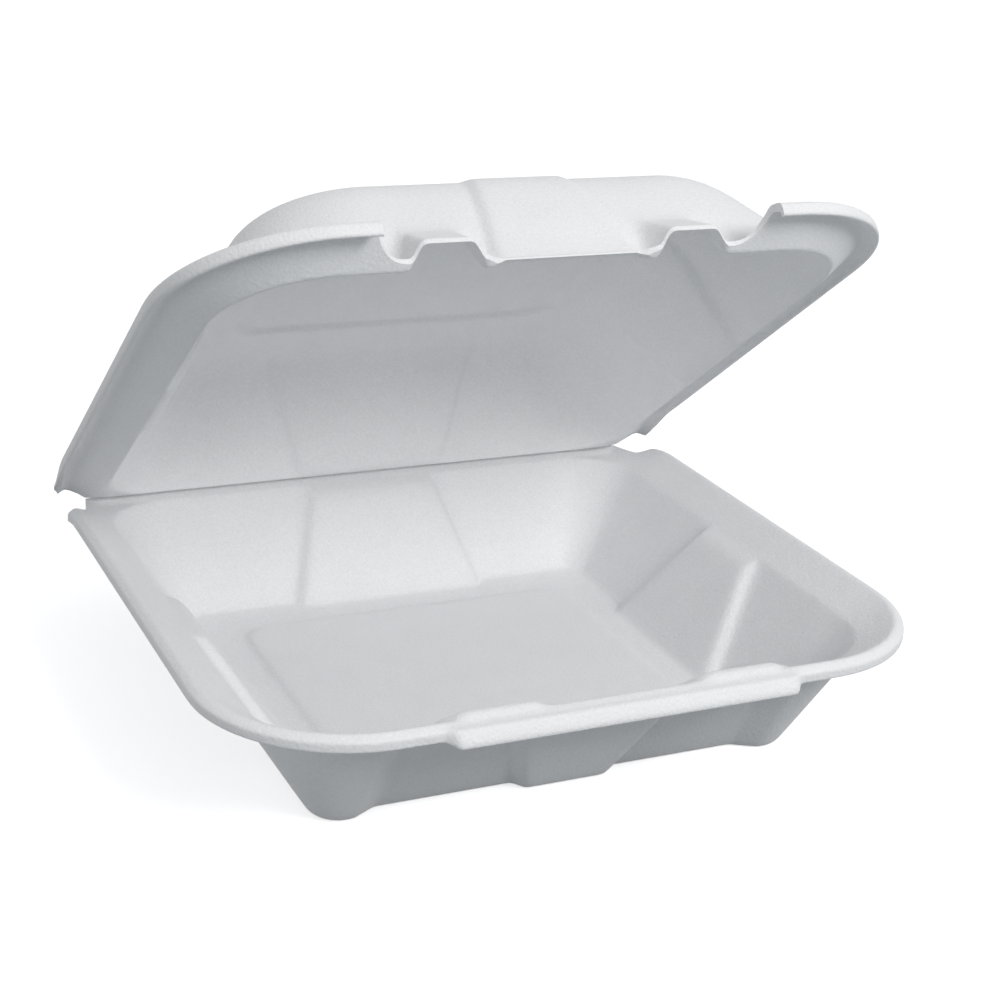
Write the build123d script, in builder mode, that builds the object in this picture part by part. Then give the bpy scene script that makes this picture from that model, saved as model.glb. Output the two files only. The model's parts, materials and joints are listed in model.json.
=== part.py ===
"""Hinged one-compartment takeout container, formed from one foam sheet.

Two shells share a crease along the back: the tray below and the lid above.
The lid stands part open. Units are millimetres, +Z is up and the front lock
bar faces -Y. The pieces are built round the middle of the tray's floor, on
the surface that it stands on, and moved at the end.
"""
import copy
import math
import os

from build123d import *

# Foam sheet and clearances
sheet = 2.2
nest_gap = 0.3
crease_gap = 0.1
overrun = 20.0
join = 0.4

# Plan of the walls, taken on the inner faces
mouth_half_width = 101.0
mouth_half_depth = 96.0
mouth_front_radius = 31.0
mouth_back_radius = 20.0
floor_radius = 8.0
wall_side_inset = 23.5
wall_end_inset = 23.0
floor_half_width = mouth_half_width - wall_side_inset
floor_half_depth = mouth_half_depth - wall_end_inset

# Heights above the surface that the tray stands on
rim_height = 46.0
flange_drop = 7.5
mouth_height = rim_height - flange_drop

# Rolled flange round the mouth, measured outwards from the wall's top
slope_run = 11.5
crest_run = 1.2
flange_width = 15.0
shoulder_drop = 1.1
shoulder_run = 0.5
lip_drop = 4.5
lip_thickness = 2.1
slope_share = flange_drop / slope_run
flange_thickness = sheet / math.cos(math.atan(slope_share))

# Rounded heel where walls meet the floor, as shares of its height and inset
heel_height = 4.0
heel_inset = 3.2
heel_height_shares = (0.0, 0.2, 0.55, 1.0)
heel_inset_shares = (1.0, 0.5, 0.15, 0.0)

# Stiffening steps of the walls
step_depth = 4.5
step_run = 4.3
step_ledge = 2.4
ledge_skin = 1.4
mouth_step_depth = 0.15
back_pad_mouth_half = 22.0
back_pad_floor_half = 34.0
side_pad_mouth_half = 14.5
side_pad_floor_half = 31.0
recess_corner_gap = 2.0
foot_mouth_half = 27.0
foot_floor_half = 13.0

# Raised middle of the tray's floor
floor_panel_side_margin = 14.5
floor_panel_end_margin = 16.0
floor_panel_radius = 12.0
floor_panel_rise = 1.6
floor_panel_bevel = 2.6

# Crease and ears
crease_setback = 4.5
crease_bevel = 0.5
ear_setback = 9.0
ear_step_out = 3.0
ear_tip_setback = 13.5
crease_half_length = mouth_half_width + crease_setback
crease_y = mouth_half_depth + crease_setback
crease_z = mouth_height + crease_setback * slope_share
crease_end_y = crease_y - crease_gap
ear_y = mouth_half_depth - ear_setback
ear_tip_y = mouth_half_depth - ear_tip_setback
land_depth = 22.0

# Lock bar on the tray's front rim, with two humps behind it
bar_half_length = 55.5
bar_reach = 4.2
bar_bevel = 2.2
bar_top_drop = 0.5
bar_foot_drop = 5.8
bar_wall = 1.8
hump_middle = 39.0
hump_half_length = 17.0
hump_end_run = 6.0
hump_rise = 1.7
hump_setback = 3.6
hump_half_width = 3.3
hump_side_run = 1.6

# Lid
lid_rise = 40.0
lid_roof_radius = 14.0
lid_heel_height = 8.0
lid_heel_inset = 5.0
lid_step_depth = 3.6
lid_recess_depth = 2.5
lid_back_pad_mouth_half = 26.0
lid_back_pad_roof_half = 38.0
lid_side_pad_mouth_half = 18.0
lid_side_pad_roof_half = 31.0
lid_side_pad_middle = 7.0
lid_blister_mouth_half = 21.5
lid_blister_roof_half = 14.0
lid_panel_clearance = 0.6
lid_panel_rise = 1.3
lid_lip_drop = 3.0
lid_lip_thickness = 1.5
lid_ear_setback = 3.0
lid_ear_tip_setback = 5.0
lid_ear_y = crease_y - lid_ear_setback
lid_ear_tip_y = crease_y - lid_ear_tip_setback
rest_angle = 37.3

# Cut-out of the lid's front flange, half of it, with one catch tooth
cut_half_length = 62.5
cut_foot_half_length = 51.5
cut_curve_half_length = 57.0
cut_curve_reach = 3.4
lobe_reach = 2.6
plain_half_length = 22.0
lobe_start = 27.0
plain_setback = 0.4
tooth_middle = 39.0
tooth_half_length = 6.5
tooth_side_run = 4.5
tooth_brow_height = 7.8
tooth_fade_height = 17.0
tooth_skin = 2.9

# Where a point of the shut lid stands when the lid is open as photographed
crease_point = Location((0, crease_y, crease_z))
shut_to_rest = crease_point * Location((0, 0, 0), (-rest_angle, 0, 0)) * crease_point.inverse()


def opened(plane):
    """The same plane of the shut lid, carried to the lid's open rest place."""
    return Plane(shut_to_rest * plane.location)


def between(low, high, share):
    return low + (high - low) * share


def wall_ring(plane, size, radii, pads, depths, side_middle=0):
    """One level of the walls: pads stand in at back and sides, recesses at the front."""
    half_x, half_y = size
    front_radius, back_radius = radii
    back_half, side_half, middle_half = pads
    depth, recess_depth = depths
    recess_end = half_x - front_radius - recess_corner_gap - step_run
    with BuildSketch(plane) as ring:
        with BuildLine():
            Polyline(
                (0, -half_y),
                (middle_half, -half_y),
                (middle_half + step_run, recess_depth - half_y),
                (recess_end, recess_depth - half_y),
                (recess_end + step_run, -half_y),
                (half_x - front_radius, -half_y),
            )
            CenterArc((half_x - front_radius, front_radius - half_y), front_radius, -90, 90)
            Polyline(
                (half_x, front_radius - half_y),
                (half_x, side_middle - side_half - step_run),
                (half_x - depth, side_middle - side_half),
                (half_x - depth, side_middle + side_half),
                (half_x, side_middle + side_half + step_run),
                (half_x, half_y - back_radius),
            )
            CenterArc((half_x - back_radius, half_y - back_radius), back_radius, 0, 90)
            Polyline(
                (half_x - back_radius, half_y),
                (back_half + step_run, half_y),
                (back_half, half_y - depth),
                (0, half_y - depth),
            )
            mirror(about=Plane.YZ)
        make_face()
    return ring.sketch


def tray_ring(height, share, offset, depth, inset=0):
    """A level of the tray's walls: share 0 is at the floor, 1 at the mouth."""
    grow = offset - inset
    half_x = between(floor_half_width, mouth_half_width, share) + grow
    half_y = between(floor_half_depth, mouth_half_depth, share) + grow
    front_radius = between(floor_radius, mouth_front_radius, share) + grow
    back_radius = between(floor_radius, mouth_back_radius, share) + grow
    pads = (
        between(back_pad_floor_half, back_pad_mouth_half, share),
        between(side_pad_floor_half, side_pad_mouth_half, share),
        between(foot_floor_half, foot_mouth_half, share),
    )
    level = Plane.XY.offset(height)
    return wall_ring(level, (half_x, half_y), (front_radius, back_radius), pads, (depth, depth))


def tray_walls(floor_height, offset, ledge, mode):
    """Loft the tray's body or its hollow, from the heel up to the mouth."""
    depth_below_mouth = mouth_height - floor_height
    rings = []
    for height_share, inset_share in zip(heel_height_shares, heel_inset_shares):
        rise = heel_height * height_share
        share = rise / depth_below_mouth
        rings.append(tray_ring(floor_height + rise, share, offset, step_depth, heel_inset * inset_share))
    rings.append(tray_ring(mouth_height - ledge, 1 - ledge / depth_below_mouth, offset, step_depth))
    rings.append(tray_ring(mouth_height, 1, offset, mouth_step_depth))
    loft(rings, ruled=True, mode=mode)


def lid_ring(height, share, offset, depths, inset=0):
    """A level of the lid's walls: share 0 is at the roof, 1 at the mouth."""
    grow = offset - inset
    half_x = between(floor_half_width, mouth_half_width, share) + grow
    half_y = between(floor_half_depth, mouth_half_depth, share) + grow
    front_radius = between(lid_roof_radius, mouth_front_radius, share) + grow
    back_radius = between(lid_roof_radius, mouth_back_radius, share) + grow
    pads = (
        between(lid_back_pad_roof_half, lid_back_pad_mouth_half, share),
        between(lid_side_pad_roof_half, lid_side_pad_mouth_half, share),
        between(lid_blister_roof_half, lid_blister_mouth_half, share),
    )
    level = opened(Plane.XY.offset(height))
    radii = (front_radius, back_radius)
    return wall_ring(level, (half_x, half_y), radii, pads, depths, lid_side_pad_middle)


def lid_walls(roof_height, offset, ledge, mode):
    """Loft the lid's body or its hollow, from the mouth up to the roof."""
    rise_over_mouth = roof_height - lid_mouth_height
    steps = (lid_step_depth, lid_recess_depth)
    ledge_share = 1 - ledge / rise_over_mouth
    rings = [
        lid_ring(lid_mouth_height, 1, offset, (mouth_step_depth, mouth_step_depth)),
        lid_ring(lid_mouth_height + ledge, ledge_share, offset, steps),
    ]
    for height_share, inset_share in reversed(list(zip(heel_height_shares, heel_inset_shares))):
        drop = lid_heel_height * height_share
        share = drop / rise_over_mouth
        rings.append(lid_ring(roof_height - drop, share, offset, steps, lid_heel_inset * inset_share))
    loft(rings, ruled=True, mode=mode)


def rim_path():
    """The wall's top edge from one back corner round the front to the other."""
    straight_x = mouth_half_width - mouth_front_radius
    straight_y = mouth_front_radius - mouth_half_depth
    Line((mouth_half_width, crease_end_y), (mouth_half_width, straight_y))
    CenterArc((straight_x, straight_y), mouth_front_radius, 0, -90)
    Line((straight_x, -mouth_half_depth), (-straight_x, -mouth_half_depth))
    CenterArc((-straight_x, straight_y), mouth_front_radius, -90, -90)
    Line((-mouth_half_width, straight_y), (-mouth_half_width, crease_end_y))


def tray_flange_points():
    """Section of the tray's flange: out from the wall's top, over the crest, down the lip."""
    lip_foot = rim_height - lip_drop
    under = mouth_height - flange_thickness
    lip_inner = flange_width - lip_thickness
    return (
        (0, mouth_height),
        (slope_run, rim_height),
        (slope_run + crest_run, rim_height),
        (flange_width - shoulder_run, rim_height - shoulder_drop),
        (flange_width, rim_height - shoulder_drop - shoulder_run),
        (flange_width, lip_foot),
        (lip_inner, lip_foot),
        (lip_inner, rim_height - sheet - shoulder_run),
        (slope_run, rim_height - flange_thickness),
        (sheet, under + sheet * slope_share),
        (sheet, under),
        (0, under),
    )


def lid_flange_points():
    """Section of the lid's flange: it follows the tray's one and wraps its lip."""
    mouth = mouth_height + nest_gap
    crest = rim_height + nest_gap
    lip_inner = flange_width + nest_gap
    lip_outer = lip_inner + lid_lip_thickness
    lip_foot = crest - lid_lip_drop
    return (
        (0, mouth),
        (slope_run, crest),
        (slope_run + crest_run, crest),
        (lip_inner, crest - shoulder_drop),
        (lip_inner, lip_foot),
        (lip_outer, lip_foot),
        (lip_outer, crest + shoulder_run),
        (lip_outer - shoulder_drop, crest + sheet - shoulder_run),
        (slope_run, crest + flange_thickness),
        (0, mouth + flange_thickness),
    )


def land(plane, base, side):
    """The strip between wall and crease: side 1 is the lid's, -1 the tray's."""
    skin = side * sheet
    end_z = crease_z + side * crease_gap
    with BuildSketch(plane) as shelf:
        with Locations((mouth_half_depth - land_depth / 2, base + skin / 2)):
            Rectangle(land_depth, sheet)
    extrude(shelf.sketch, amount=mouth_half_width, both=True)
    with BuildSketch(plane) as slope:
        with BuildLine():
            Polyline(
                (mouth_half_depth, base),
                (crease_end_y, end_z),
                (crease_end_y - crease_bevel, end_z + skin),
                (mouth_half_depth, base + skin),
                close=True,
            )
        make_face()
    extrude(slope.sketch, amount=crease_half_length, both=True)


def seat_relief(path):
    """Clear the lid's underside so that it seats on the tray's sloping rim all round."""
    end_z = crease_z + crease_gap
    reach = crease_half_length + ear_step_out - mouth_half_width
    with BuildSketch(opened(Plane.YZ)) as under_land:
        with BuildLine():
            Polyline(
                (mouth_half_depth, lid_mouth_height),
                (crease_end_y, end_z),
                (crease_y, end_z),
                (crease_y, lid_mouth_height),
                close=True,
            )
        make_face()
    extrude(under_land.sketch, amount=mouth_half_width + reach, both=True, mode=Mode.SUBTRACT)
    with BuildSketch(opened(rim_start)) as under_flange:
        with BuildLine():
            Polyline(
                (0, lid_mouth_height),
                (reach, lid_mouth_height + reach * slope_share),
                (reach, lid_mouth_height),
                close=True,
            )
        make_face()
    sweep(under_flange.sketch, path=path, mode=Mode.SUBTRACT)


def ear_points(step_y, tip_y):
    """What the trimming die takes off beside the crease, on one side."""
    far_x = mouth_half_width + flange_width + overrun
    far_y = crease_y + overrun
    tip_x = mouth_half_width + flange_width
    return (
        (crease_half_length, far_y),
        (crease_half_length, crease_y),
        (crease_half_length + ear_step_out, step_y),
        (tip_x, tip_y),
        (far_x, tip_y),
        (far_x, far_y),
    )


def front_cut_points():
    """Plan of what the trimming die takes off one half of the lid's front flange."""
    wall_y = -mouth_half_depth
    far_y = wall_y - flange_width - overrun
    return (
        (0, wall_y - plain_setback),
        (plain_half_length, wall_y - plain_setback),
        (lobe_start, wall_y - lobe_reach),
        (cut_foot_half_length, wall_y - lobe_reach),
        (cut_curve_half_length, wall_y - lobe_reach - cut_curve_reach),
        (cut_half_length, wall_y - flange_width),
        (cut_half_length, far_y),
        (0, far_y),
    )


def panel_loft(low_plane, high_plane, clearance, mode):
    """A shallow raised panel with bevelled edges, or the hollow beneath one."""
    half_x = floor_half_width - floor_panel_side_margin
    half_y = floor_half_depth - floor_panel_end_margin
    rings = []
    for plane, inset in ((low_plane, clearance), (high_plane, clearance + floor_panel_bevel)):
        with BuildSketch(plane) as ring:
            RectangleRounded(2 * (half_x - inset), 2 * (half_y - inset), floor_panel_radius - inset)
        rings.append(ring.sketch)
    loft(rings, ruled=True, mode=mode)


def lock_bar_loft(shrink, top, foot, mode):
    """The lock bar's outer shape, or its hollow when shrunk by the bar's wall."""
    inner_y = mouth_half_depth + slope_run + shrink
    reach_y = mouth_half_depth + flange_width + bar_reach
    rings = []
    for height, bevel in ((foot, 0), (top - bar_bevel, 0), (top, bar_bevel)):
        outer_y = reach_y - shrink - bevel
        half_x = bar_half_length - shrink - bevel
        with BuildSketch(Plane.XY.offset(height)) as ring:
            with Locations((0, -(inner_y + outer_y) / 2)):
                Rectangle(2 * half_x, outer_y - inner_y)
        rings.append(ring.sketch)
    loft(rings, ruled=True, mode=mode)


def hump(side):
    """A soft hump on the crest of the front rim, near one end of the bar."""
    crest_y = mouth_half_depth + slope_run + crest_run - hump_setback
    rings = []
    for height, share in ((rim_height - join, 0), (rim_height + hump_rise, 1)):
        with BuildSketch(Plane.XY.offset(height)) as ring:
            with Locations((side * hump_middle, -crest_y)):
                Rectangle(
                    2 * (hump_half_length - hump_end_run * share),
                    2 * (hump_half_width - hump_side_run * share),
                )
        rings.append(ring.sketch)
    loft(rings, ruled=True)


def tooth_blister(side, skin, drop, mode):
    """A bulge on the lid's front wall, seen as a tooth where the flange is cut away."""
    fade_z = mouth_height + nest_gap + tooth_fade_height
    lean = (mouth_half_depth - floor_half_depth) / (lid_rise - sheet)
    fade_y = skin + lid_recess_depth - sheet - mouth_half_depth + tooth_fade_height * lean
    brow_y = skin - lobe_reach - mouth_half_depth
    tooth_lean = (fade_y - brow_y) / (tooth_fade_height - tooth_brow_height)
    rings = []
    for along, slope in (
        (-tooth_half_length - tooth_side_run, lean),
        (-tooth_half_length, tooth_lean),
        (tooth_half_length, tooth_lean),
        (tooth_half_length + tooth_side_run, lean),
    ):
        middle_x = side * tooth_middle + along
        station = Plane(origin=(middle_x, 0, 0), x_dir=(0, 1, 0), z_dir=(1, 0, 0))
        with BuildSketch(opened(station)) as ring:
            with BuildLine():
                Polyline(
                    (fade_y, fade_z),
                    (fade_y - slope * drop, fade_z - drop),
                    (fade_y + sheet, fade_z - drop),
                    (fade_y + sheet, fade_z),
                    close=True,
                )
            make_face()
        rings.append(ring.sketch)
    loft(rings, ruled=True, mode=mode)


rim_start = Plane(origin=(mouth_half_width, crease_end_y, 0), x_dir=(1, 0, 0), z_dir=(0, -1, 0))
lid_mouth_height = mouth_height + nest_gap
lid_roof_height = lid_mouth_height + lid_rise

with BuildPart() as tray:
    tray_walls(0, sheet, step_ledge + ledge_skin, Mode.ADD)
    with BuildLine():
        rim_path()
    with BuildSketch(rim_start):
        with BuildLine():
            Polyline(tray_flange_points(), close=True)
        make_face()
    sweep()
    land(Plane.YZ, mouth_height, -1)
    tray_walls(sheet, 0, step_ledge, Mode.SUBTRACT)
    open_mouth = tray_ring(mouth_height, 1, 0, mouth_step_depth)
    extrude(open_mouth, amount=overrun, mode=Mode.SUBTRACT)
    with BuildSketch(Plane.XY):
        with BuildLine():
            Polyline(ear_points(ear_y, ear_tip_y), close=True)
        make_face()
        mirror(about=Plane.YZ)
    extrude(amount=rim_height + overrun, mode=Mode.SUBTRACT)
    bar_top = rim_height - bar_top_drop
    bar_foot = rim_height - bar_foot_drop
    lock_bar_loft(0, bar_top, bar_foot, Mode.ADD)
    lock_bar_loft(bar_wall, bar_top - sheet, bar_foot - overrun, Mode.SUBTRACT)
    for side in (-1, 1):
        hump(side)
    panel_top = sheet + floor_panel_rise
    panel_loft(Plane.XY.offset(sheet - join), Plane.XY.offset(panel_top), 0, Mode.ADD)
    panel_loft(Plane.XY, Plane.XY.offset(floor_panel_rise), 0, Mode.SUBTRACT)

with BuildPart() as lid:
    lid_walls(lid_roof_height, sheet, step_ledge + ledge_skin, Mode.ADD)
    with BuildLine(opened(Plane.XY)) as lid_rim:
        rim_path()
    with BuildSketch(opened(rim_start)):
        with BuildLine():
            Polyline(lid_flange_points(), close=True)
        make_face()
    sweep()
    land(opened(Plane.YZ), lid_mouth_height, 1)
    for side in (-1, 1):
        tooth_blister(side, 0, tooth_fade_height, Mode.ADD)
    seat_relief(lid_rim.line)
    lid_walls(lid_roof_height - sheet, 0, step_ledge, Mode.SUBTRACT)
    for side in (-1, 1):
        tooth_blister(side, tooth_skin, tooth_fade_height + overrun, Mode.SUBTRACT)
    below_mouth = lid_ring(lid_mouth_height, 1, 0, (mouth_step_depth, mouth_step_depth))
    extrude(below_mouth, amount=-overrun, mode=Mode.SUBTRACT)
    roof_inside = lid_roof_height - sheet
    for base, mode in ((lid_roof_height - join, Mode.ADD), (roof_inside - join, Mode.SUBTRACT)):
        low_plane = opened(Plane.XY.offset(base))
        high_plane = opened(Plane.XY.offset(base + join + lid_panel_rise))
        panel_loft(low_plane, high_plane, lid_panel_clearance, mode)
    with BuildSketch(opened(Plane.XY)):
        with BuildLine():
            Polyline(ear_points(lid_ear_y, lid_ear_tip_y), close=True)
        make_face()
        with BuildLine():
            Polyline(front_cut_points(), close=True)
        make_face()
        mirror(about=Plane.YZ)
    extrude(amount=lid_roof_height, mode=Mode.SUBTRACT)

# The frame's origin is under the middle of the open container, so the pieces move there
open_container = Compound(children=[copy.copy(tray.part), copy.copy(lid.part)]).bounding_box()
for half in (tray, lid):
    half.part.move(Location((0, -open_container.center().Y, 0)))

os.makedirs("parts", exist_ok=True)
tray.part.label = "tray"
lid.part.label = "lid"
export_step(tray.part, "parts/tray.step")
export_step(lid.part, "parts/lid.step")
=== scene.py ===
"""Foam takeout container with a hinged lid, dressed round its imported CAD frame.

Both shells are built as rings of points in the plan of the shut container, in
millimetres from the middle of the mouth, then thickened, trimmed and moved to
where the frame holds them.
"""
import json
import math

import bpy
import numpy as np
from mathutils import Matrix, Vector


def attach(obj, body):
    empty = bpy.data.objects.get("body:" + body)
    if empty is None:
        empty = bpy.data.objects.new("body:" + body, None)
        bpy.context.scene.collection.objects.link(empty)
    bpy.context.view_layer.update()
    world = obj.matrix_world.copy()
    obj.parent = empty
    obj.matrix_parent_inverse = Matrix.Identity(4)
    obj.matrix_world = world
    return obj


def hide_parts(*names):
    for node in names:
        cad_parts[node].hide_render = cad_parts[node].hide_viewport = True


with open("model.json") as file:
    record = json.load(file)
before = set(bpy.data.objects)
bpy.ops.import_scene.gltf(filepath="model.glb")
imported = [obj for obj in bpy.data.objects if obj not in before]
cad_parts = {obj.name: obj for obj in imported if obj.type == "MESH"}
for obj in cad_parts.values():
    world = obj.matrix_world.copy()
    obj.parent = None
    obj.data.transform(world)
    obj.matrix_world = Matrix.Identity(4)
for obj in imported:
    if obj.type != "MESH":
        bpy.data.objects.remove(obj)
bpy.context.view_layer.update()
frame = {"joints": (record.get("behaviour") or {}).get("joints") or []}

MM = 0.001

# Sheet, mouth and rim, as in the frame
SHEET = 2.2
GAP = 0.3
MOUTH_X = 101.0
MOUTH_Y = 96.0
MOUTH_FRONT_RADIUS = 31.0
MOUTH_BACK_RADIUS = 20.0
MOUTH_Z = 38.5
RIM_SLOPE = 7.5 / 11.5
SKIN_DROP = 2.63
BACK_CORNER_RADIUS = 3.0

# Mesh steps: up a wall, round a cutter's arc, and along each stretch of half a ring
HEEL_STEPS = 7
WALL_STEPS = 9
LEDGE_STEPS = 4
EAR_ARC_STEPS = 8
TOOTH_CUT_STEPS = 24
CUT_ARC_STEPS = 14
EDGE_STEPS = 12
RING_POINTS = (12, 6, 40, 10, 2, 26, 16, 6, 18, 6, 16, 20, 18, 6, 12)
SOFT_PASSES = 2
SHARP_ANGLE = math.radians(40)

# Steps of the walls
FOOT_RUN = 8.0
CORNER_GAP = 2.0
LEDGE = 2.4
LEDGE_SKIN = 1.4
SIDE_INSET = 23.5
END_INSET = 23.0

# Crease and ears
CREASE_Y = 100.5
CREASE_Z = MOUTH_Z + (CREASE_Y - MOUTH_Y) * RIM_SLOPE
CREASE_END_Y = 100.4
CREASE_HALF_LENGTH = 105.5
REST_ANGLE = math.radians(37.3)
BACK_REACH = 103.0
EAR_STEP = 3.0
EAR_RADIUS = 4.5
EAR_FADE_Y = 72.0
EAR_FADE_RUN = 20.0
EAR_DROP = 3.2
EAR_LIP_Z = 43.3
EAR_LIP_RISE = 2.4
TRAY_EAR_Y = 87.0
TRAY_EAR_TIP_Y = 82.5
LID_EAR_Y = 97.5
LID_EAR_TIP_Y = 95.5

joint = frame["joints"][0]
FRAME_SHIFT = joint["pos_m"][1] / MM - CREASE_Y

# Camera, fitted to the photograph
CAMERA_AZIMUTH = -25.63
CAMERA_ELEVATION = 20.64
CAMERA_ROLL = 3.25
CAMERA_DISTANCE = 0.63972
CAMERA_TARGET = (0.00778, -0.00146 + FRAME_SHIFT * MM, 0.06498)
CAMERA_LENS = 70.18
CAMERA_SENSOR = 36.0

# Foam look: textures per metre, its tones, roughness and relief
GRAIN_SCALE = 1500.0
GRAIN_DETAIL = 2.5
GRAIN_ROUGHNESS = 0.6
BEAD_SCALE = 900.0
PATCH_SCALE = 60.0
PATCH_DETAIL = 3.0
PATCH_SHARE = 0.15
TONE_ENDS = (0.3, 0.7)
FOAM_DARK = (0.84, 0.843, 0.853, 1)
FOAM_LIGHT = (0.945, 0.948, 0.956, 1)
FOAM_ROUGHNESS = (0.42, 0.68)
FOAM_SPECULAR = 0.35
BUMP_STRENGTH = 0.38
FINE_DEPTH = 0.00018
COARSE_DEPTH = 0.0003

# Studio
FLOOR_REACH = 3.0
FLOOR_COLOUR = (0.95, 0.95, 0.95, 1)
FLOOR_ROUGHNESS = 0.9
FLOOR_BOUNCE = 0.28
FLOOR_TINT = (0.93, 1.0, 1.04)
FLOOR_GLOW = 0.62
WORLD_STRENGTH = 0.42
WORLD_COLOUR = (0.955, 0.98, 1.0, 1)
WHITE = (1, 1, 1, 1)
LIGHT_TARGET = (0.0, 0.02, 0.05)
KEY_PLACE = (0.38, -0.95, 0.86)
KEY_ENERGY = 7.7
KEY_SIZE = 0.45
FILL_PLACE = (-0.95, -0.62, 0.4)
FILL_ENERGY = 1.2
FILL_SIZE = 0.5
TOP_PLACE = (0.2, -0.1, 1.2)
TOP_ENERGY = 0.5
TOP_SIZE = 0.8

# The shells. depths: how far the wall panels, the front's recess and its corners stand in.
# back_pad, side_pad, middle: half widths of the back's and sides' panels and of the front's
# middle, at the floor or roof and at the mouth. side_middle: middle of the sides' panels.
# radii: front and back corners at the floor or roof. heel: rise and inset of the curve
# there. run: length of a step in plan.
TRAY = {
    "depths": (4.5, 4.5, 0.0),
    "back_pad": (34.0, 22.0),
    "side_pad": (31.0, 14.5),
    "middle": (13.0, 27.0),
    "side_middle": 0.0,
    "radii": (6.5, 8.0),
    "heel": (2.4, 1.8),
    "run": 3.0,
}
LID = {
    "depths": (3.6, 2.5, 2.5),
    "back_pad": (38.0, 26.0),
    "side_pad": (31.0, 18.0),
    "middle": (14.0, 21.5),
    "side_middle": 7.0,
    "radii": (30.0, 14.0),
    "heel": (10.0, 6.5),
    "run": 3.0,
}

# Rim sections in stretches: points as run outwards from the mouth and height, then how many rings
TRAY_RIM = (
    (((0, 38.5), (11.5, 46.0)), 20),
    (((11.5, 46.0), (12.7, 46.0), (14.5, 44.9), (15.0, 44.4), (15.0, 41.5)), 18),
    (((15.0, 41.5), (12.9, 41.5), (12.9, 43.3), (11.5, 43.37)), 12),
    (((11.5, 43.37), (1.0, 36.5)), 14),
)
BAR_RIM = (
    (((0, 38.5), (11.3, 45.9)), 20),
    (((11.3, 45.9), (12.3, 46.0), (14.2, 45.4), (16.8, 45.3), (18.9, 42.2), (19.2, 40.4)), 18),
    (((19.2, 40.4), (17.6, 40.4), (17.0, 42.6), (12.5, 43.2)), 12),
    (((12.5, 43.2), (11.5, 43.37), (1.0, 36.5)), 14),
)
LID_RIM = (
    (((0, 38.8), (11.5, 46.3)), 20),
    (((11.5, 46.3), (12.7, 46.3), (15.3, 45.2), (15.3, 43.3)), 12),
    (((15.3, 43.3), (16.8, 43.3), (16.8, 46.8), (15.7, 48.0), (11.5, 48.93)), 18),
    (((11.5, 48.93), (1.0, 42.1)), 14),
)
RIM_TOP = ((0, 0), (11.5, 7.5), (12.7, 7.5), (14.5, 6.4), (15.0, 5.9))
TRAY_RIM_WIDTH = 15.0
LID_RIM_WIDTH = 16.8
# Lock bar and its two humps
BAR_HALF_LENGTH = 55.5
BAR_END_RUN = 3.5
HUMP_MIDDLE = 39.0
HUMP_FLAT = 10.0
HUMP_END = 17.5
HUMP_FOOT_Z = 44.6
HUMP_RISE = 2.5
HUMP_RUN = 10.0
HUMP_FLAT_RUN = 1.2
HUMP_END_RUN = 3.4

# Floor and roof panels
FLOOR_PANEL = {"half": (63.0, 57.0), "back": 57.0, "rise": 1.8, "bevel": 1.5}
ROOF_PANEL = {"half": (60.0, 56.0), "back": 45.0, "rise": 2.0, "bevel": 1.3}
PANEL_RADIUS = 12.0
PANEL_PADS = (24.0, 22.0, 12.0)
PANEL_RUN = 3.0
PANEL_SCALES = (0.02, 0.3, 0.6, 0.85, 0.96, 0.985)
PANEL_APRONS = (1.015, 1.04)

# Lid
LID_HEIGHT = 40.0
LID_MOUTH_Z = MOUTH_Z + GAP
LID_ROOF_Z = LID_MOUTH_Z + LID_HEIGHT
TOOTH_MIDDLE = 39.0
TOOTH_FLAT = 7.5
TOOTH_END = 11.5
TOOTH_REACH = 5.2
TOOTH_HEIGHT = 17.0
TOOTH_FADE_Z = LID_MOUTH_Z + TOOTH_HEIGHT
TOOTH_LEAN = 1.7
WALL_LEAN = 0.6085
TOOTH_FADE_Y = -85.36
TOOTH_SKIN = 2.2

# Trimmed front of the lid, where the sheet is pressed thin
CUT_HALF = 62.5
LOBE_HALF = 51.5
LOBE_REACH = 2.6
CUT_REACH = 16.0
PLAIN_HALF = 21.0
LOBE_START = 27.0
PLAIN_REACH = 0.4
PLAIN_Z = 41.0
THIN_DEPTH = 1.5
THIN_Z = 49.0
THIN_FADE = 6.0
THIN_HALF = 57.0
THIN_TURN = 1.2
CUT_OVERLAP = 1.0
EDGE_LOW_Z = 30.0
EDGE_FOOT_Z = 38.0
EDGE_BACK_Y = -60.0
PLAN_CUT_Z = (20.0, 90.0)
EAR_CUT_Z = (-10.0, 120.0)
FAR = 160.0
FAR_BELOW = -100.0

# Crease bead
BEAD_RADIUS = 0.55
BEAD_END_SHARE = 0.3
BEAD_SIDES = 14


def smooth_step(value):
    share = np.clip(value, 0, 1)
    return share * share * (3 - 2 * share)


def plateau(distance, flat, end):
    """1 within the flat part, falling softly to 0 at the end."""
    return 1 - smooth_step((distance - flat) / (end - flat))


def line_points(start, end, count):
    shares = np.linspace(0, 1, count, endpoint=False)[:, None]
    return np.array(start) + shares * (np.array(end) - np.array(start))


def arc_points(centre, radius, start, end, count):
    angles = np.radians(np.linspace(start, end, count, endpoint=False))
    return np.array(centre) + radius * np.stack((np.cos(angles), np.sin(angles)), axis=1)


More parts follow.
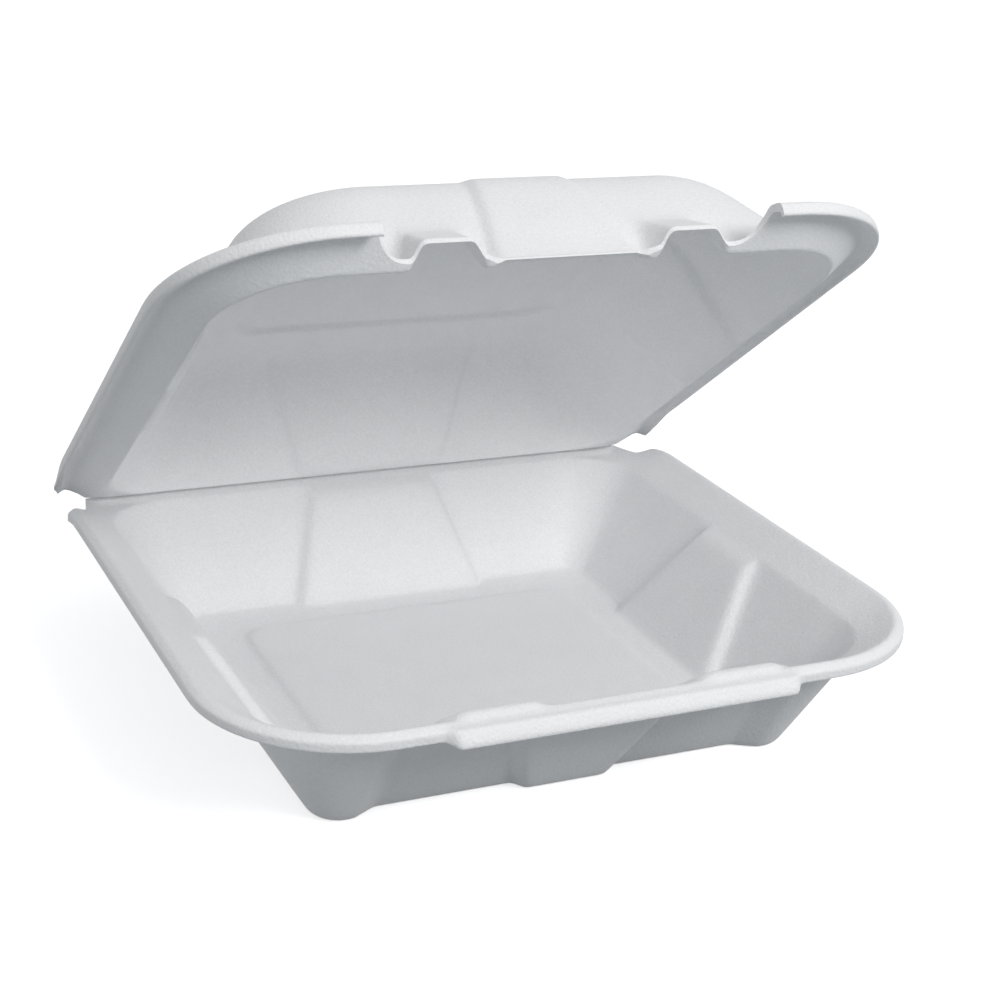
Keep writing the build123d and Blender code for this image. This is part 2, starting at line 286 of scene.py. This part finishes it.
def ring(half_x, front_y, back_y, radii, pads, depths, side_middle, run):
    """One level in plan, from the front's middle round by +X and back, as a closed loop."""
    front_radius, back_radius = radii
    back_half, side_half, middle_half = pads
    depth, recess, corner = depths
    recess_end = half_x - front_radius - CORNER_GAP - FOOT_RUN
    corner_x = half_x - front_radius
    foot_y = corner - front_y
    low_side = side_middle - side_half
    high_side = side_middle + side_half
    counts = iter(RING_POINTS)
    half = np.concatenate((
        line_points((0, -front_y), (middle_half, -front_y), next(counts)),
        line_points((middle_half, -front_y), (middle_half + run, recess - front_y), next(counts)),
        line_points((middle_half + run, recess - front_y), (recess_end, recess - front_y), next(counts)),
        line_points((recess_end, recess - front_y), (recess_end + FOOT_RUN, foot_y), next(counts)),
        line_points((recess_end + FOOT_RUN, foot_y), (corner_x, foot_y), next(counts)),
        arc_points((corner_x, front_radius + foot_y), front_radius, -90, 0, next(counts)),
        line_points((half_x, front_radius + foot_y), (half_x, low_side - run), next(counts)),
        line_points((half_x, low_side - run), (half_x - depth, low_side), next(counts)),
        line_points((half_x - depth, low_side), (half_x - depth, high_side), next(counts)),
        line_points((half_x - depth, high_side), (half_x, high_side + run), next(counts)),
        line_points((half_x, high_side + run), (half_x, back_y - back_radius), next(counts)),
        arc_points((half_x - back_radius, back_y - back_radius), back_radius, 0, 90, next(counts)),
        line_points((half_x - back_radius, back_y), (back_half + run, back_y), next(counts)),
        line_points((back_half + run, back_y), (back_half, back_y - depth), next(counts)),
        line_points((back_half, back_y - depth), (0, back_y - depth), next(counts)),
        [(0, back_y - depth)],
    ))
    mirrored = half[-2:0:-1] * np.array((-1, 1))
    return np.concatenate((half, mirrored))


def level(shell, share, grow, depth_share, height):
    """A ring of the shell's wall; share 0 is at its floor or roof, 1 at the mouth."""
    def mix(pair):
        return pair[0] + (pair[1] - pair[0]) * share

    half_x = MOUTH_X - SIDE_INSET * (1 - share) + grow
    half_y = MOUTH_Y - END_INSET * (1 - share) + grow
    radii = (
        mix((shell["radii"][0], MOUTH_FRONT_RADIUS)) + grow,
        mix((shell["radii"][1], MOUTH_BACK_RADIUS)) + grow,
    )
    pads = (mix(shell["back_pad"]), mix(shell["side_pad"]), mix(shell["middle"]))
    depths = [depth * depth_share for depth in shell["depths"]]
    plan = ring(half_x, half_y, half_y, radii, pads, depths, shell["side_middle"], shell["run"])
    return with_height(plan, height)


def with_height(plan, height):
    return np.column_stack((plan, np.broadcast_to(height, len(plan))))


def wall_rows(shell, base_z, mouth_z, grow, ledge):
    """Rings from the floor or roof, up or down the wall, to the mouth."""
    span = mouth_z - base_z
    heel_rise, heel_inset = shell["heel"]
    towards = math.copysign(1, span)
    rows = []
    for angle in np.radians(np.linspace(0, 90, HEEL_STEPS)):
        rise = heel_rise * (1 - math.cos(angle))
        inset = heel_inset * (1 - math.sin(angle))
        rows.append(level(shell, rise / abs(span), grow - inset, 1, base_z + towards * rise))
    for rise in np.linspace(heel_rise, abs(span) - ledge, WALL_STEPS + 1)[1:]:
        rows.append(level(shell, rise / abs(span), grow, 1, base_z + towards * rise))
    for share in np.linspace(0, 1, LEDGE_STEPS + 1)[1:]:
        rise = abs(span) - ledge * (1 - share)
        rows.append(level(shell, rise / abs(span), grow, 1 - share, base_z + towards * rise))
    return rows


def panel_rows(panel, base_z):
    """Rings of the raised middle of the floor or roof, from its centre to its foot."""
    half_x, front = panel["half"]
    rows = []
    for inset, height in ((panel["bevel"], panel["rise"]), (0, 0)):
        radius = PANEL_RADIUS - inset
        plan = ring(
            half_x - inset, front - inset, panel["back"] - inset,
            (radius, radius), PANEL_PADS, (0, 0, 0), 0, PANEL_RUN,
        )
        rows.append(with_height(plan, base_z + height))
    top, foot = rows
    scaled = [top * np.array((scale, scale, 1)) for scale in PANEL_SCALES]
    aprons = [foot * np.array((scale, scale, 1)) for scale in PANEL_APRONS]
    return scaled + [top, (top + foot) / 2, foot] + aprons


def rim_plans(shell, rim_width):
    """The mouth's ring and the outline that the rim reaches, point for point."""
    mouth = level(shell, 1, 0, 0, 0)[:, :2]
    pads = (shell["back_pad"][1], shell["side_pad"][1], shell["middle"][1])
    outline = ring(
        MOUTH_X + rim_width,
        MOUTH_Y + rim_width,
        BACK_REACH,
        (MOUTH_FRONT_RADIUS + rim_width, BACK_CORNER_RADIUS),
        pads,
        (0, 0, 0),
        shell["side_middle"],
        shell["run"],
    )
    return mouth, outline


def section(stretches):
    """Evenly spaced points along each stretch of a rim section."""
    points = []
    for corners, count in stretches:
        corners = np.array(corners, float)
        lengths = np.linalg.norm(np.diff(corners, axis=0), axis=1)
        along = np.concatenate(((0,), np.cumsum(lengths)))
        wanted = np.linspace(0, along[-1], count, endpoint=False)
        runs = np.interp(wanted, along, corners[:, 0])
        heights = np.interp(wanted, along, corners[:, 1])
        points.extend(zip(runs, heights))
    return points[1:]


def stretch_ends(stretches):
    """Index of the ring after each stretch."""
    return np.cumsum([count for _, count in stretches]) - 1


def rim_surface(plan, mouth_z):
    """Height of the sloping rim beside and behind the mouth, without its lip."""
    side_run = np.maximum(np.abs(plan[:, 0]) - MOUTH_X, 0)
    side = np.interp(side_run, [run for run, _ in RIM_TOP], [rise for _, rise in RIM_TOP])
    return mouth_z + side, mouth_z + RIM_SLOPE * np.maximum(plan[:, 1] - MOUTH_Y, 0)


def ear_share(y):
    """0 along the sides, rising to 1 at the ears."""
    return smooth_step((y - EAR_FADE_Y) / EAR_FADE_RUN)


def lower_ears(built):
    """Bring the side rims down towards the crease at the ears, both skins alike."""
    vertices = built.data.vertices
    points = np.empty(3 * len(vertices))
    vertices.foreach_get("co", points)
    points = points.reshape(-1, 3) / MM
    outwards = np.clip((np.abs(points[:, 0]) - MOUTH_X) / RIM_TOP[1][0], 0, 1)
    points[:, 2] -= EAR_DROP * outwards * ear_share(points[:, 1])
    vertices.foreach_set("co", (points * MM).ravel())


def bar_share(plan):
    """1 along the lock bar, 0 elsewhere."""
    front = plan[:, 1] < -MOUTH_Y
    flat = BAR_HALF_LENGTH - BAR_END_RUN / 2
    along = plateau(np.abs(plan[:, 0]), flat, flat + BAR_END_RUN)
    return np.where(front, along, 0)


def hump_height(plan, run):
    """Height of the humps at this run, or nothing where there are none."""
    along = plateau(np.abs(np.abs(plan[:, 0]) - HUMP_MIDDLE), HUMP_FLAT, HUMP_END)
    across = plateau(abs(run - HUMP_RUN), HUMP_FLAT_RUN, HUMP_END_RUN)
    share = along * across * (plan[:, 1] < -MOUTH_Y)
    return np.where(share > 0, HUMP_FOOT_Z + HUMP_RISE * share, 0)


def tray_rim_rows():
    """Rings over the tray's crest, round its lip and back beneath it."""
    mouth, outline = rim_plans(TRAY, TRAY_RIM_WIDTH)
    outward = (outline - mouth) / TRAY_RIM_WIDTH
    _, lip_start, lip_end, _ = stretch_ends(TRAY_RIM)
    rows = []
    sections = zip(section(TRAY_RIM), section(BAR_RIM))
    for index, ((run, height), (bar_run, bar_height)) in enumerate(sections):
        share = bar_share(mouth + outward * run)
        plan = mouth + outward * (run + share * (bar_run - run))[:, None]
        side, back = rim_surface(plan, MOUTH_Z)
        if index < lip_start:
            behind = np.maximum(np.minimum(height, side), back)
        elif index < lip_end:
            behind = np.minimum(height, np.maximum(side, back) - SKIN_DROP / 2)
        else:
            behind = np.maximum(side, back) - SKIN_DROP
        z = np.where(plan[:, 1] < 0, height + share * (bar_height - height), behind)
        if index < lip_start:
            z = np.maximum(z, hump_height(plan, run))
        rows.append(with_height(plan, z))
    return rows


def tooth_height(points, skin):
    """Height of the tooth bulges at these points, or far below where there is none."""
    lean_share = plateau(np.abs(np.abs(points[:, 0]) - TOOTH_MIDDLE), TOOTH_FLAT, TOOTH_END)
    lean = WALL_LEAN + lean_share * (TOOTH_LEAN - WALL_LEAN)
    height = TOOTH_FADE_Z + (points[:, 1] - TOOTH_FADE_Y - skin) / lean
    nowhere = (points[:, 1] > TOOTH_FADE_Y + skin) | (lean_share == 0)
    return np.where(nowhere, FAR_BELOW, height)


def raise_teeth(rows, skin):
    """Lift the rings where the tooth bulges stand proud; skin 0 is their outer face."""
    for row in rows:
        row[:, 2] = np.maximum(row[:, 2], tooth_height(row, skin))
    return rows


def lid_rim_rows():
    """Rings along the lid rim's lower skin, round its lip and back over the top."""
    mouth, outline = rim_plans(LID, LID_RIM_WIDTH)
    outward = (outline - mouth) / LID_RIM_WIDTH
    _, lip_start, lip_end, _ = stretch_ends(LID_RIM)
    rows = []
    for index, (run, height) in enumerate(section(LID_RIM)):
        plan = mouth + outward * run
        side, back = rim_surface(plan, LID_MOUTH_Z)
        if index < lip_start:
            behind = np.maximum(np.minimum(height, side), back)
        elif index < lip_end:
            behind = np.maximum(height, back + SKIN_DROP / 2)
            behind = np.maximum(behind, EAR_LIP_Z + EAR_LIP_RISE * ear_share(plan[:, 1]))
        else:
            behind = np.maximum(side, back) + SKIN_DROP
        row = with_height(plan, np.where(plan[:, 1] < 0, height, behind))
        rows.append(row)
        if index < lip_start:
            raise_teeth([row], TOOTH_SKIN)
        elif index >= lip_end:
            raise_teeth(press_thin([row], smooth_step((run - THIN_TURN) / THIN_TURN)), 0)
    return rows


def press_thin(rows, downwards):
    """Bring the front's outer skin closer to the inner one near the trimmed edge.

    It goes back where downwards is 0, as on the wall, and down where it is 1, as on the rim.
    """
    for row in rows:
        share = plateau(np.abs(row[:, 0]), THIN_HALF, THIN_HALF + THIN_FADE)
        share = share * plateau(row[:, 2], THIN_Z, THIN_Z + THIN_FADE) * (row[:, 1] < 0)
        row[:, 1] += THIN_DEPTH * share * (1 - downwards)
        row[:, 2] -= THIN_DEPTH * share * downwards
    return rows


def soften(rows):
    """Round the edges of a stack of rings, by averaging neighbours along and across them."""
    grid = np.array(rows)
    for _ in range(SOFT_PASSES):
        grid = grid / 2 + (np.roll(grid, 1, axis=1) + np.roll(grid, -1, axis=1)) / 4
    for _ in range(SOFT_PASSES):
        grid[1:-1] = grid[1:-1] / 2 + (grid[:-2] + grid[2:]) / 4
    return grid


def mesh_object(name, vertices, faces):
    mesh = bpy.data.meshes.new(name)
    mesh.from_pydata([tuple(vertex) for vertex in vertices], [], faces)
    mesh.validate()
    mesh.update()
    built = bpy.data.objects.new(name, mesh)
    bpy.context.scene.collection.objects.link(built)
    return built


def shell_object(name, grid):
    """A closed solid from a stack of rings, capped at both ends."""
    count, around, _ = grid.shape
    faces = []
    for row in range(count - 1):
        for column in range(around):
            following = (column + 1) % around
            faces.append((
                row * around + column,
                row * around + following,
                (row + 1) * around + following,
                (row + 1) * around + column,
            ))
    faces.append(tuple(reversed(range(around))))
    faces.append(tuple(range((count - 1) * around, count * around)))
    return mesh_object(name, grid.reshape(-1, 3) * MM, faces)


def prism(name, outline, low, high, upright=True):
    """A closed prism over an outline, in millimetres: in plan, or in the XZ plane along Y."""
    count = len(outline)
    vertices = []
    for end in (low, high):
        for first, second in outline:
            vertices.append((first, second, end) if upright else (first, end, second))
    faces = [(i, (i + 1) % count, count + (i + 1) % count, count + i) for i in range(count)]
    faces.append(tuple(reversed(range(count))))
    faces.append(tuple(range(count, 2 * count)))
    built = mesh_object(name, np.array(vertices) * MM, faces)
    if not upright:
        built.data.flip_normals()
    return built


def trim(target, cutters):
    """Cut the prisms off the target, as a trimming die does."""
    for cutter in cutters:
        modifier = target.modifiers.new("trim", "BOOLEAN")
        modifier.operation = "DIFFERENCE"
        modifier.solver = "EXACT"
        modifier.object = cutter
    bpy.context.view_layer.update()
    graph = bpy.context.evaluated_depsgraph_get()
    trimmed = bpy.data.meshes.new_from_object(target.evaluated_get(graph))
    target.modifiers.clear()
    target.data = trimmed
    for cutter in cutters:
        bpy.data.objects.remove(cutter)


def ear_cutters(step_y, tip_y):
    """What the die takes off beside and behind the crease."""
    side = [
        (CREASE_HALF_LENGTH, FAR),
        (CREASE_HALF_LENGTH, CREASE_Y),
        (CREASE_HALF_LENGTH + EAR_STEP, step_y),
    ]
    corner_x = MOUTH_X + LID_RIM_WIDTH
    for angle in np.radians(np.linspace(0, 90, EAR_ARC_STEPS)):
        side.append((
            corner_x - EAR_RADIUS * (1 - math.sin(angle)),
            tip_y - EAR_RADIUS * (1 - math.cos(angle)),
        ))
    side += [(FAR, tip_y - EAR_RADIUS), (FAR, FAR)]
    other = [(-x, y) for x, y in reversed(side)]
    behind = [(-FAR, CREASE_END_Y), (FAR, CREASE_END_Y), (FAR, FAR), (-FAR, FAR)]
    return [prism("ear", outline, *EAR_CUT_Z) for outline in (side, other, behind)]


def front_cutters():
    """What the die takes off the lid's front rim: its plan, and the edge between the teeth."""
    half = [
        (0, -MOUTH_Y - PLAIN_REACH),
        (PLAIN_HALF + CUT_OVERLAP, -MOUTH_Y - PLAIN_REACH),
    ]
    for x in np.linspace(LOBE_START, LOBE_HALF - CUT_OVERLAP, TOOTH_CUT_STEPS):
        tooth = plateau(abs(x - TOOTH_MIDDLE), TOOTH_FLAT - CUT_OVERLAP, TOOTH_END)
        half.append((x, -MOUTH_Y - LOBE_REACH - (TOOTH_REACH - LOBE_REACH) * tooth))
    for angle in np.radians(np.linspace(0, 90, CUT_ARC_STEPS)):
        half.append((
            LOBE_HALF + (CUT_HALF - LOBE_HALF) * math.sin(angle),
            -MOUTH_Y - LOBE_REACH - (CUT_REACH - LOBE_REACH) * (1 - math.cos(angle)),
        ))
    half.append((CUT_HALF, -FAR))
    other = [(-x, y) for x, y in reversed(half[1:])]
    plan = prism("front", list(reversed(half + other)), *PLAN_CUT_Z)
    edge_half = LOBE_START + CUT_OVERLAP
    edge = []
    for angle in np.radians(np.linspace(0, 180, EDGE_STEPS)):
        share = (1 - math.cos(angle)) / 2
        edge.append((
            edge_half - (edge_half - PLAIN_HALF) * share,
            EDGE_FOOT_Z + (PLAIN_Z - EDGE_FOOT_Z) * share,
        ))
    left = [(-x, z) for x, z in reversed(edge)]
    outline = [(edge_half, EDGE_LOW_Z)] + edge + left + [(-edge_half, EDGE_LOW_Z)]
    return [prism("edge", outline, -FAR, EDGE_BACK_Y, upright=False), plan]


def finish_shading(built, material):
    for polygon in built.data.polygons:
        polygon.use_smooth = True
    built.data.set_sharp_from_angle(angle=SHARP_ANGLE)
    built.data.materials.clear()
    built.data.materials.append(material)


def tray_shell(material):
    inner = panel_rows(FLOOR_PANEL, SHEET)
    inner += wall_rows(TRAY, SHEET, MOUTH_Z, 0, LEDGE)
    outer = wall_rows(TRAY, 0, MOUTH_Z, SHEET, LEDGE + LEDGE_SKIN)
    outer = panel_rows(FLOOR_PANEL, 0) + outer[:-2]
    grid = soften(inner + tray_rim_rows() + outer[::-1])
    built = shell_object("tray_shell", grid)
    trim(built, ear_cutters(TRAY_EAR_Y, TRAY_EAR_TIP_Y))
    lower_ears(built)
    built.data.transform(Matrix.Translation((0, FRAME_SHIFT * MM, 0)))
    finish_shading(built, material)
    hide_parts("tray")
    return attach(built, "tray")


def lid_shell(material):
    roof_inside = LID_ROOF_Z - SHEET
    inner = panel_rows(ROOF_PANEL, roof_inside)
    inner += raise_teeth(wall_rows(LID, roof_inside, LID_MOUTH_Z, 0, LEDGE), TOOTH_SKIN)
    outer = wall_rows(LID, LID_ROOF_Z, LID_MOUTH_Z, SHEET, LEDGE + LEDGE_SKIN)
    outer = raise_teeth(press_thin(outer[:-2], 0), 0)
    outer = panel_rows(ROOF_PANEL, LID_ROOF_Z) + outer
    grid = soften(inner + lid_rim_rows() + outer[::-1])
    built = shell_object("lid_shell", grid)
    trim(built, front_cutters() + ear_cutters(LID_EAR_Y, LID_EAR_TIP_Y))
    lower_ears(built)
    crease = Matrix.Translation((0, CREASE_Y * MM, CREASE_Z * MM))
    shift = Matrix.Translation((0, FRAME_SHIFT * MM, 0))
    opening = shift @ crease @ Matrix.Rotation(-REST_ANGLE, 4, "X") @ crease.inverted()
    built.data.transform(opening)
    finish_shading(built, material)
    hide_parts("lid")
    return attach(built, "lid")


def crease_bead(material):
    """The pressed fold that joins the halves, a thin bead on the hinge line."""
    half_length = CREASE_HALF_LENGTH - BEAD_RADIUS
    vertices = []
    for x, share in (
        (-CREASE_HALF_LENGTH, BEAD_END_SHARE),
        (-half_length, 1),
        (half_length, 1),
        (CREASE_HALF_LENGTH, BEAD_END_SHARE),
    ):
        for angle in np.linspace(0, 2 * math.pi, BEAD_SIDES, endpoint=False):
            y = CREASE_Y + FRAME_SHIFT + BEAD_RADIUS * share * math.cos(angle)
            z = CREASE_Z + BEAD_RADIUS * share * math.sin(angle)
            vertices.append((x, y, z))
    faces = []
    for row in range(3):
        for side in range(BEAD_SIDES):
            following = (side + 1) % BEAD_SIDES
            faces.append((
                row * BEAD_SIDES + side,
                row * BEAD_SIDES + following,
                (row + 1) * BEAD_SIDES + following,
                (row + 1) * BEAD_SIDES + side,
            ))
    faces.append(tuple(reversed(range(BEAD_SIDES))))
    faces.append(tuple(range(3 * BEAD_SIDES, 4 * BEAD_SIDES)))
    built = mesh_object("crease_bead", np.array(vertices) * MM, faces)
    finish_shading(built, material)
    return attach(built, "tray")


def foam_material():
    """White foam: a fine grain of beads, in height, roughness and tone."""
    material = bpy.data.materials.new("white_foam")
    material.use_nodes = True
    nodes = material.node_tree.nodes
    links = material.node_tree.links
    shader = nodes["Principled BSDF"]
    place = nodes.new("ShaderNodeTexCoord")

    grain = nodes.new("ShaderNodeTexNoise")
    grain.inputs["Scale"].default_value = GRAIN_SCALE
    grain.inputs["Detail"].default_value = GRAIN_DETAIL
    grain.inputs["Roughness"].default_value = GRAIN_ROUGHNESS
    links.new(place.outputs["Object"], grain.inputs["Vector"])

    beads = nodes.new("ShaderNodeTexVoronoi")
    beads.feature = "F1"
    beads.inputs["Scale"].default_value = BEAD_SCALE
    links.new(place.outputs["Object"], beads.inputs["Vector"])

    patches = nodes.new("ShaderNodeTexNoise")
    patches.inputs["Scale"].default_value = PATCH_SCALE
    patches.inputs["Detail"].default_value = PATCH_DETAIL
    links.new(place.outputs["Object"], patches.inputs["Vector"])

    tone_mix = nodes.new("ShaderNodeMix")
    tone_mix.inputs["Factor"].default_value = PATCH_SHARE
    links.new(grain.outputs["Fac"], tone_mix.inputs["A"])
    links.new(patches.outputs["Fac"], tone_mix.inputs["B"])

    tone = nodes.new("ShaderNodeValToRGB")
    tone.color_ramp.elements[0].position = TONE_ENDS[0]
    tone.color_ramp.elements[0].color = FOAM_DARK
    tone.color_ramp.elements[1].position = TONE_ENDS[1]
    tone.color_ramp.elements[1].color = FOAM_LIGHT
    links.new(tone_mix.outputs["Result"], tone.inputs["Fac"])
    links.new(tone.outputs["Color"], shader.inputs["Base Color"])

    sheen = nodes.new("ShaderNodeMapRange")
    sheen.inputs["To Min"].default_value = FOAM_ROUGHNESS[0]
    sheen.inputs["To Max"].default_value = FOAM_ROUGHNESS[1]
    links.new(grain.outputs["Fac"], sheen.inputs["Value"])
    links.new(sheen.outputs["Result"], shader.inputs["Roughness"])

    fine = nodes.new("ShaderNodeBump")
    fine.inputs["Strength"].default_value = BUMP_STRENGTH
    fine.inputs["Distance"].default_value = FINE_DEPTH
    links.new(grain.outputs["Fac"], fine.inputs["Height"])
    coarse = nodes.new("ShaderNodeBump")
    coarse.inputs["Strength"].default_value = BUMP_STRENGTH
    coarse.inputs["Distance"].default_value = COARSE_DEPTH
    links.new(beads.outputs["Distance"], coarse.inputs["Height"])
    links.new(fine.outputs["Normal"], coarse.inputs["Normal"])
    links.new(coarse.outputs["Normal"], shader.inputs["Normal"])

    shader.inputs["Specular IOR Level"].default_value = FOAM_SPECULAR
    return material


def add_camera():
    azimuth = math.radians(CAMERA_AZIMUTH)
    elevation = math.radians(CAMERA_ELEVATION)
    roll = math.radians(CAMERA_ROLL)
    back = Vector((
        math.sin(azimuth) * math.cos(elevation),
        -math.cos(azimuth) * math.cos(elevation),
        math.sin(elevation),
    ))
    right = (-back).cross(Vector((0, 0, 1))).normalized()
    up = right.cross(-back)
    turned_right = math.cos(roll) * right + math.sin(roll) * up
    turned_up = math.cos(roll) * up - math.sin(roll) * right
    camera = bpy.data.objects.new("camera", bpy.data.cameras.new("camera"))
    bpy.context.scene.collection.objects.link(camera)
    camera.data.lens = CAMERA_LENS
    camera.data.sensor_width = CAMERA_SENSOR
    turn = Matrix((turned_right, turned_up, back)).transposed().to_4x4()
    camera.matrix_world = Matrix.Translation(Vector(CAMERA_TARGET) + CAMERA_DISTANCE * back) @ turn
    bpy.context.scene.camera = camera


def add_light(name, location, target, energy, size):
    data = bpy.data.lights.new(name, "AREA")
    data.energy = energy
    data.size = size
    lamp = bpy.data.objects.new(name, data)
    bpy.context.scene.collection.objects.link(lamp)
    direction = Vector(target) - Vector(location)
    lamp.rotation_euler = direction.to_track_quat("-Z", "Y").to_euler()
    lamp.location = location


def shown_share(nodes, links):
    """1 for what the camera sees straight, in a gloss or through glass, else 0."""
    path = nodes.new("ShaderNodeLightPath")
    share = path.outputs["Is Camera Ray"]
    for ray in ("Is Glossy Ray", "Is Transmission Ray"):
        either = nodes.new("ShaderNodeMath")
        either.operation = "MAXIMUM"
        links.new(share, either.inputs[0])
        links.new(path.outputs[ray], either.inputs[1])
        share = either.outputs["Value"]
    return share


def add_floor():
    """A pale floor that keeps the shadow and sends little light back up."""
    corners = [(-1, -1, 0), (1, -1, 0), (1, 1, 0), (-1, 1, 0)]
    floor = mesh_object("floor", np.array(corners) * FLOOR_REACH, [(0, 1, 2, 3)])
    material = bpy.data.materials.new("floor_white")
    material.use_nodes = True
    nodes = material.node_tree.nodes
    links = material.node_tree.links
    output = nodes["Material Output"]
    shader = nodes["Principled BSDF"]
    shader.inputs["Base Color"].default_value = FLOOR_COLOUR
    shader.inputs["Roughness"].default_value = FLOOR_ROUGHNESS
    shader.inputs["Specular IOR Level"].default_value = 0
    shader.inputs["Emission Color"].default_value = WHITE
    shader.inputs["Emission Strength"].default_value = FLOOR_GLOW
    bounce = nodes.new("ShaderNodeBsdfDiffuse")
    bounce.inputs["Color"].default_value = [FLOOR_BOUNCE * tint for tint in FLOOR_TINT] + [1]
    mix = nodes.new("ShaderNodeMixShader")
    links.new(shown_share(nodes, links), mix.inputs["Fac"])
    links.new(bounce.outputs["BSDF"], mix.inputs[1])
    links.new(shader.outputs["BSDF"], mix.inputs[2])
    links.new(mix.outputs["Shader"], output.inputs["Surface"])
    floor.data.materials.append(material)


def add_world():
    """White to the camera, softer on the object."""
    world = bpy.data.worlds.new("studio")
    world.use_nodes = True
    nodes = world.node_tree.nodes
    links = world.node_tree.links
    soft = nodes["Background"]
    soft.inputs["Color"].default_value = WORLD_COLOUR
    soft.inputs["Strength"].default_value = WORLD_STRENGTH
    white = nodes.new("ShaderNodeBackground")
    white.inputs["Color"].default_value = WHITE
    white.inputs["Strength"].default_value = 1
    mix = nodes.new("ShaderNodeMixShader")
    links.new(shown_share(nodes, links), mix.inputs["Fac"])
    links.new(soft.outputs["Background"], mix.inputs[1])
    links.new(white.outputs["Background"], mix.inputs[2])
    links.new(mix.outputs["Shader"], nodes["World Output"].inputs["Surface"])
    bpy.context.scene.world = world


foam = foam_material()
tray_shell(foam)
lid_shell(foam)
crease_bead(foam)
add_floor()
add_world()
add_light("key", KEY_PLACE, LIGHT_TARGET, KEY_ENERGY, KEY_SIZE)
add_light("fill", FILL_PLACE, LIGHT_TARGET, FILL_ENERGY, FILL_SIZE)
add_light("top", TOP_PLACE, LIGHT_TARGET, TOP_ENERGY, TOP_SIZE)
add_camera()
bpy.context.scene.view_settings.view_transform = "Standard"
